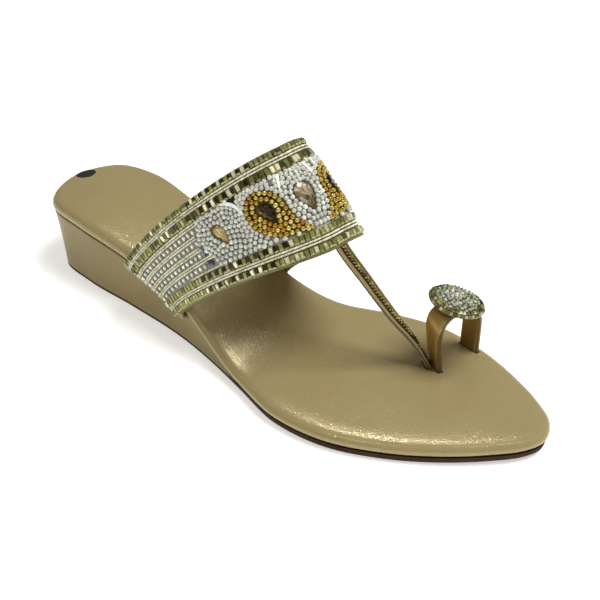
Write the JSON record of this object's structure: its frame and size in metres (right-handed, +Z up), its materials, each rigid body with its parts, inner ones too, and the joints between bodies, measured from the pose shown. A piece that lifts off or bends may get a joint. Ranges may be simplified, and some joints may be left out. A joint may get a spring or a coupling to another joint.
{
  "type": "toe-loop wedge sandal",
  "caption": "Slip-on low wedge sandal for a right foot, with a wide beaded instep band, a thin centre strap and a toe loop under a round jewel plate.",
  "frame": {"origin": "on the floor, under the centre of the whole sandal's box", "axes": "+X from heel to toe, +Y to the big-toe (inner) side, +Z up"},
  "size_m": [0.2518, 0.0886, 0.0914],
  "materials": {
    "sole_rubber": "matt dark brown rubber",
    "gold_cover": "smooth satin gold-beige faux leather",
    "gold_footbed": "satin gold-beige faux leather with a fine metallic grain",
    "beaded_leather": "gold faux leather under close beadwork, cords and mirror pieces",
    "crystal": "faceted crystals on a gold plate"
  },
  "bodies": {
    "root": {"outsole": "sole_rubber", "wedge": "gold_cover", "footbed": "gold_footbed", "upper": "beaded_leather", "toe_ornament": "crystal"}
  },
  "joints": []
}
